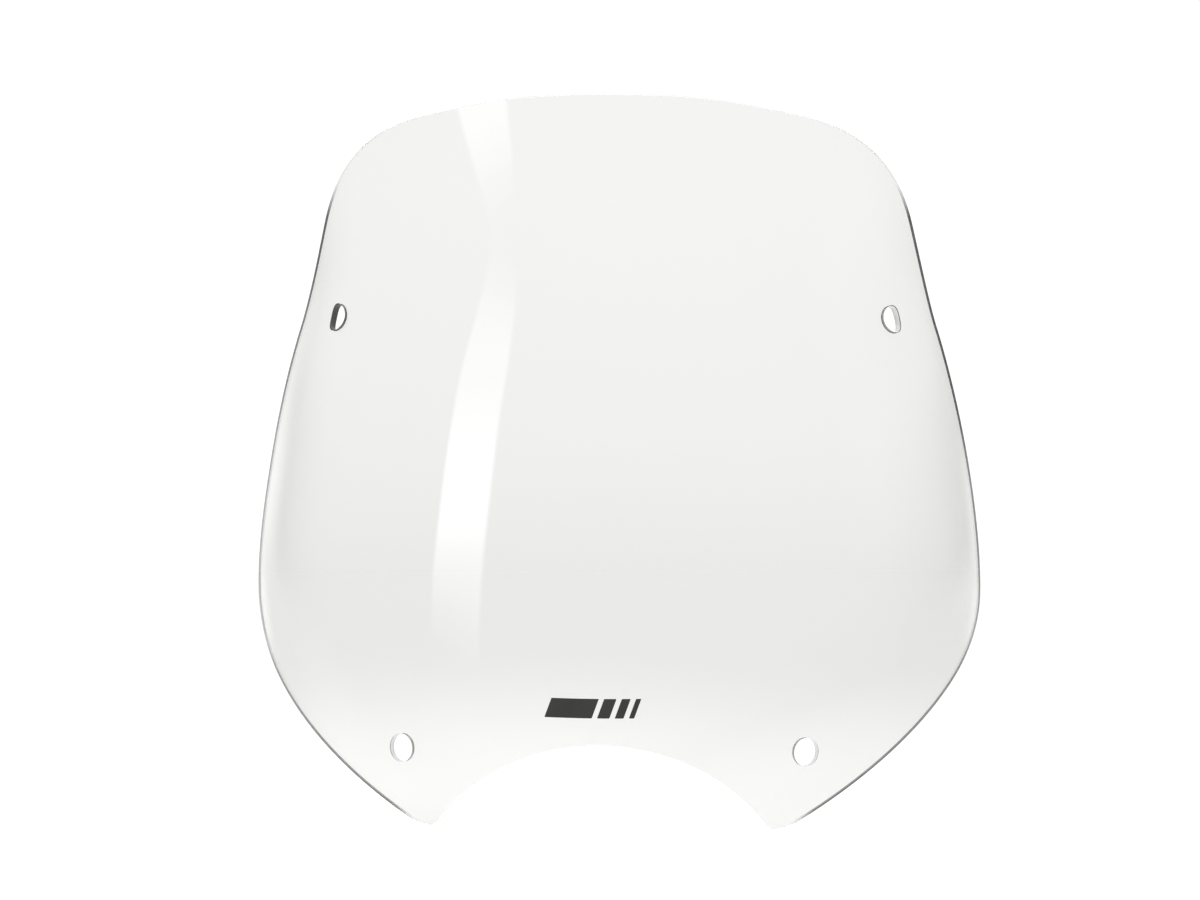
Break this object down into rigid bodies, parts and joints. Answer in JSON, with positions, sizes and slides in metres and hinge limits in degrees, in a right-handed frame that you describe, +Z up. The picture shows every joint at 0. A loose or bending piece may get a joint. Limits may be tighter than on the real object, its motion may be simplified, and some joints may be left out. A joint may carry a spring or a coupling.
{
  "type": "motorcycle windshield screen",
  "caption": "Clear formed motorcycle windshield screen, deeply curved, with a round arch cut in its bottom edge, mounting holes near its sides and a plain film mark.",
  "frame": {"origin": "centre of the bounding box, on the level of the two lower tips", "axes": "+Z up as mounted, outside face towards -Y, rider on +Y, left and right halves mirror each other across X = 0"},
  "size_m": [0.438, 0.1886, 0.4115],
  "materials": {
    "clear_acrylic": "clear cast acrylic, polished faces and edges",
    "mark_film": "charcoal cut vinyl film, satin"
  },
  "bodies": {
    "root": {"screen": "clear_acrylic", "mark_block": "mark_film", "mark_stripe_1": "mark_film", "mark_stripe_2": "mark_film", "mark_stripe_3": "mark_film"}
  },
  "joints": []
}
